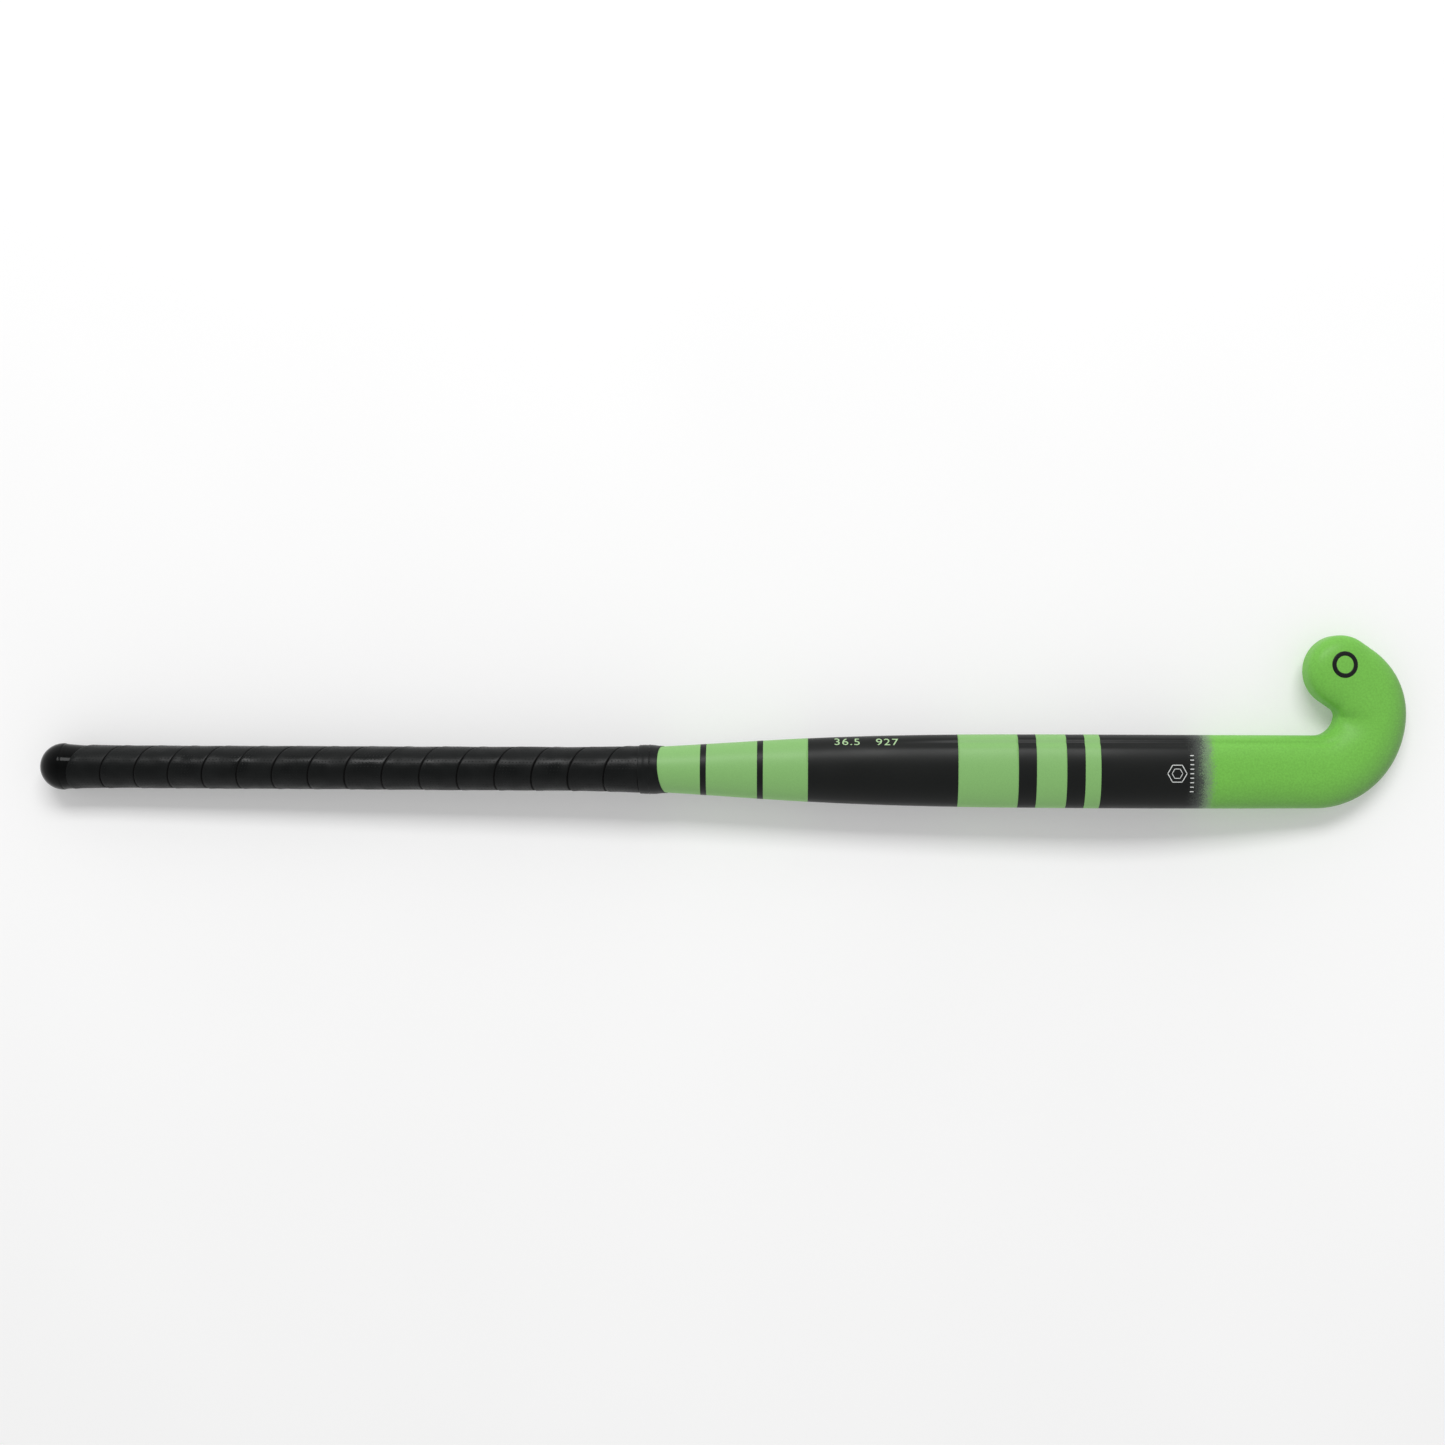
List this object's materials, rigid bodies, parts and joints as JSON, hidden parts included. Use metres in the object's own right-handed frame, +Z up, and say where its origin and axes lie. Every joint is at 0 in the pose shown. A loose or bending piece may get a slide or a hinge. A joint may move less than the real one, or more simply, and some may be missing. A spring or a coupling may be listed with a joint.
{
  "type": "field hockey stick",
  "caption": "Composite field hockey stick with a round wrapped handle, a low bow, a flat playing face, a rounded back and a hooked head.",
  "frame": {"origin": "tip of the butt cap, on the handle's axis", "axes": "+X from the butt end to the head, +Y towards the toe, +Z up towards the rounded back, with the stick lying face down"},
  "size_m": [0.9273, 0.1178, 0.047],
  "materials": {
    "outer_laminate": "satin black lacquer over carbon and glass laminate, with green printed areas",
    "inner_laminate": "raw laminate",
    "core_foam": "closed-cell foam",
    "damper_foam": "soft foam",
    "plug_rubber": "matte",
    "cap_plastic": "gloss",
    "grip_wrap": "matte, perforated wrap",
    "band_tape": "satin tape"
  },
  "bodies": {
    "root": {"laminate_shell": "outer_laminate", "toe_side_tube": "inner_laminate", "heel_side_tube": "inner_laminate", "head_core": "core_foam", "handle_damper": "damper_foam", "butt_plug": "plug_rubber", "butt_cap": "cap_plastic", "grip_tape": "grip_wrap", "finishing_tape": "band_tape"}
  },
  "joints": []
}
